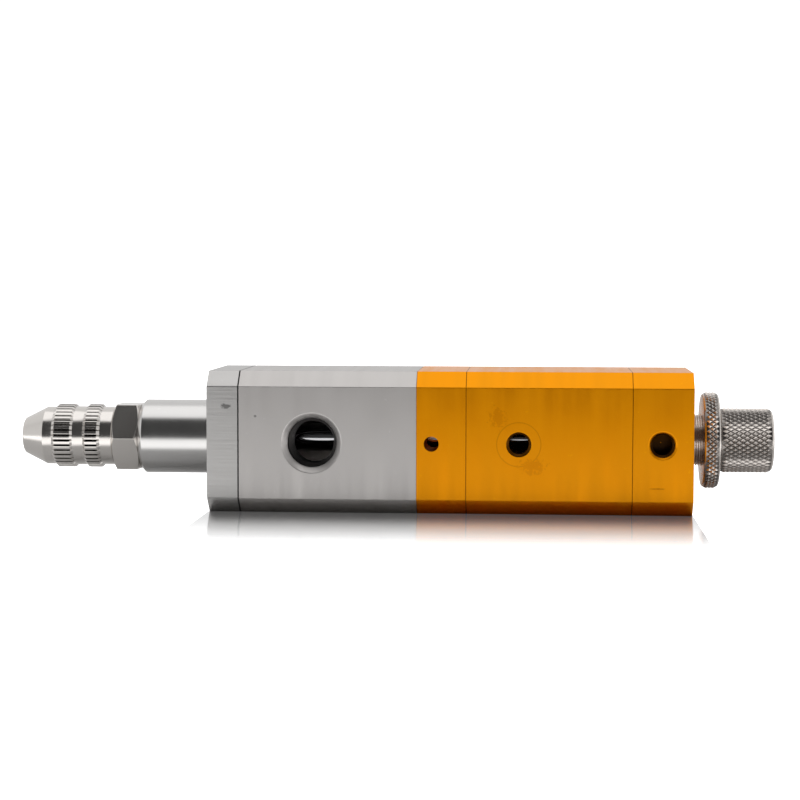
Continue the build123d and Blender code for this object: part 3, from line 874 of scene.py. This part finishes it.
# %% Adjusting knob: plug, stem and knurled head in one turning
knob_nose, knob_end = span("adjusting_knob")
ring_from, ring_to = span("adjuster_o_ring")
cap_back = span("rear_cap")[1]
head_front = span("lock_nut_washer")[1] + 0.05 * MM
THREAD_FROM = cap_back - 3.5 * MM
STEM_ROOT = 5.16 * MM
PLUG_RADIUS = 4.6 * MM
GROOVE_RADIUS = 3.7 * MM
ring_middle = (ring_from + ring_to) / 2
ring_room = (ring_to - ring_from) * 0.65
plug_front = ring_middle - 3.1 * MM
groove = [(ring_middle - ring_room, PLUG_RADIUS), (ring_middle - ring_room, GROOVE_RADIUS),
          (ring_middle + ring_room, GROOVE_RADIUS), (ring_middle + ring_room, PLUG_RADIUS)]
knob_profile = from_end(knob_nose, 1, (0, 0), (0, 2.8), (0.2, 3.0))
knob_profile += from_end(plug_front, 1, (0, 3.0), (0, 4.4), (0.2, 4.6))
knob_profile += groove
knob_profile += [(THREAD_FROM, PLUG_RADIUS), (THREAD_FROM, STEM_ROOT), (head_front, STEM_ROOT)]
knob_profile.append((head_front, 6.45 * MM))
knob_profile += rows(*KNOB_BAND, KNOB_VALLEY, 6)
knob_profile += from_end(knob_end, -1, (0.27, 6.46), (0.1, 6.28), (0.02, 6.0), (0, 5.7), (0, 2.2),
                         (0.15, 1.9), (0.15, 0))
knob = turn("knob_knurled", knob_profile, 42)
knurl(knob, *KNOB_BAND, KNOB_VALLEY, KNOB_HEIGHT)

# %% [markdown]
# ## Screw threads
# A thread is one small V-shaped tooth that climbs by its pitch at every turn, which is what the Screw
# modifier does. It turns about its object's own origin, so the tooth is drawn with the origin already on
# the hole's axis.

# %% Cutting a thread
def thread(name, place, axis, pitch, root, crest, turns, sides=40):
    """A V thread that starts at place and climbs along +X or +Y. Root is its buried foot, crest its tip."""
    out = (0, 0, 1) if axis == "X" else (1, 0, 0)
    along = (1, 0, 0) if axis == "X" else (0, 1, 0)
    flat = 0.12 * pitch
    tooth = ((0, root), (pitch / 2 - flat, crest), (pitch / 2 + flat, crest), (pitch, root))
    spots = [Vector(along) * x + Vector(out) * r for x, r in tooth]
    helix = draw_line(name, spots[0], [b - a for a, b in zip(spots, spots[1:])])
    end_edit()
    climb = helix.modifiers.new("climb", "SCREW")
    climb.axis = axis
    climb.angle = math.tau
    climb.screw_offset = pitch
    climb.iterations = turns
    climb.steps = sides
    climb.render_steps = sides
    bpy.ops.object.modifier_apply(modifier=climb.name)
    helix.location = place
    bpy.ops.object.transform_apply(location=True, rotation=False, scale=False)
    start_edit(helix, "VERT")
    bpy.ops.mesh.select_all(action="SELECT")
    bpy.ops.mesh.remove_doubles(threshold=0.001 * MM)
    bpy.ops.mesh.normals_make_consistent(inside=False)
    end_edit()
    return helix


# %% The stem's thread, joined to the knob
STEM_PITCH = 0.5 * MM
stem_turns = int((head_front - THREAD_FROM) / STEM_PITCH)
stem_thread = thread("stem_thread", (THREAD_FROM, 0, AXIS_HEIGHT), "X", STEM_PITCH,
                     root=5.14 * MM, crest=5.5 * MM, turns=stem_turns)
bpy.ops.object.select_all(action="DESELECT")
stem_thread.select_set(True)
knob.select_set(True)
bpy.context.view_layer.objects.active = knob
bpy.ops.object.join()
finish_piece(knob, "adjuster", knurled, ("adjusting_knob",))

# %% Threads in the ports
# Each row is a name, the port, then in mm how deep it starts, pitch, root and crest, then turns, slot and
# finish.
PORTS = (
    ("inlet_thread", INLET, 1.9, 0.941, 5.14, 4.50, 6, "silver_aluminium", silver),
    ("cylinder_port_thread", CYLINDER_PORT, 0.3, 0.8, 2.52, 2.12, 5, "gold_aluminium", gold),
    ("rear_port_thread", REAR_PORT, 0.5, 0.8, 2.52, 2.12, 5, "gold_aluminium", gold),
)
# Each thread takes its block's finish, so it lies inside its port's painted shade.
for name, place, depth, pitch, root, crest, turns, slot, material in PORTS:
    start = (place[0], place[1] + depth * MM, place[2])
    port_thread = thread(name, start, "Y", pitch * MM, root * MM, crest * MM, turns)
    finish_piece(port_thread, "valve_body", material, ())

# %% [markdown]
# ## The floor
# A pale polished table. Close in front of the block it mirrors, so that the block stands on its own image,
# and the image fades away towards the front. A strip of it in front glows upwards into the block's face,
# brightest for the face's foot, as a white sheet laid there would.

# %% Floor
MIRROR_REACH = 0.066
MIRROR_STRENGTH = 0.95
MIRROR_MARGIN = 0.2 * MM        # the mirror is this much longer than the block at each end
TABLE_GLOW = 1.12
GLOW_START, GLOW_FULL = 0.24, 0.12              # metres in front of the block, from far to near
GLOW_DIMS, GLOW_ENDS = 0.016, 0.006             # and close to the block, where the glow fades out
TABLE_GREY = 0.68
TABLE_WHITE = 1.15
block_from, block_to = span("front_cap")[0], span("rear_cap")[1]
BLOCK_MIDDLE = (block_from + block_to) / 2
BLOCK_HALF = (block_to - block_from) / 2 + MIRROR_MARGIN


def pale_table():
    """Grey to everything that it lights, white to the camera, and a mirror close in front of the block."""
    material = bpy.data.materials.new("pale_table")
    material.use_nodes = True
    tree = material.node_tree
    surface = tree.nodes["Principled BSDF"]
    surface.inputs["Base Color"].default_value = (TABLE_GREY, TABLE_GREY, TABLE_GREY, 1)
    surface.inputs["Roughness"].default_value = 0.12
    surface.inputs["Emission Color"].default_value = (1, 1, 1, 1)
    place = split(tree, tree.nodes.new("ShaderNodeTexCoord").outputs["Object"])
    fade = ramp_node(tree, place["Y"], FRONT_FACE - MIRROR_REACH, FRONT_FACE)
    from_middle = math_node(tree, "ABSOLUTE", math_node(tree, "SUBTRACT", place["X"], BLOCK_MIDDLE))
    along_block = math_node(tree, "LESS_THAN", from_middle, BLOCK_HALF)
    in_front = math_node(tree, "LESS_THAN", place["Y"], 0.0)
    strip = math_node(tree, "MULTIPLY", math_node(tree, "MULTIPLY", along_block, in_front), fade)
    strip = math_node(tree, "MULTIPLY", strip, MIRROR_STRENGTH)
    tree.links.new(strip, surface.inputs["Metallic"])
    ray = tree.nodes.new("ShaderNodeLightPath").outputs["Is Camera Ray"]
    open_table = math_node(tree, "SUBTRACT", 1.0, strip)
    glow = math_node(tree, "MULTIPLY", math_node(tree, "MULTIPLY", ray, open_table), TABLE_WHITE)
    near = ramp_node(tree, place["Y"], FRONT_FACE - GLOW_START, FRONT_FACE - GLOW_FULL)
    clear = ramp_node(tree, place["Y"], FRONT_FACE - GLOW_ENDS, FRONT_FACE - GLOW_DIMS)
    band = math_node(tree, "MULTIPLY", near, clear)
    unseen = math_node(tree, "SUBTRACT", 1.0, ray)
    band = math_node(tree, "MULTIPLY", math_node(tree, "MULTIPLY", band, unseen), TABLE_GLOW)
    glow = math_node(tree, "ADD", glow, band)
    tree.links.new(glow, surface.inputs["Emission Strength"])
    return material


bpy.ops.object.select_all(action="DESELECT")
bpy.ops.mesh.primitive_plane_add(size=12, location=(0, 0, 0))
floor = bpy.context.active_object
floor.name = "floor"
give(floor, pale_table())
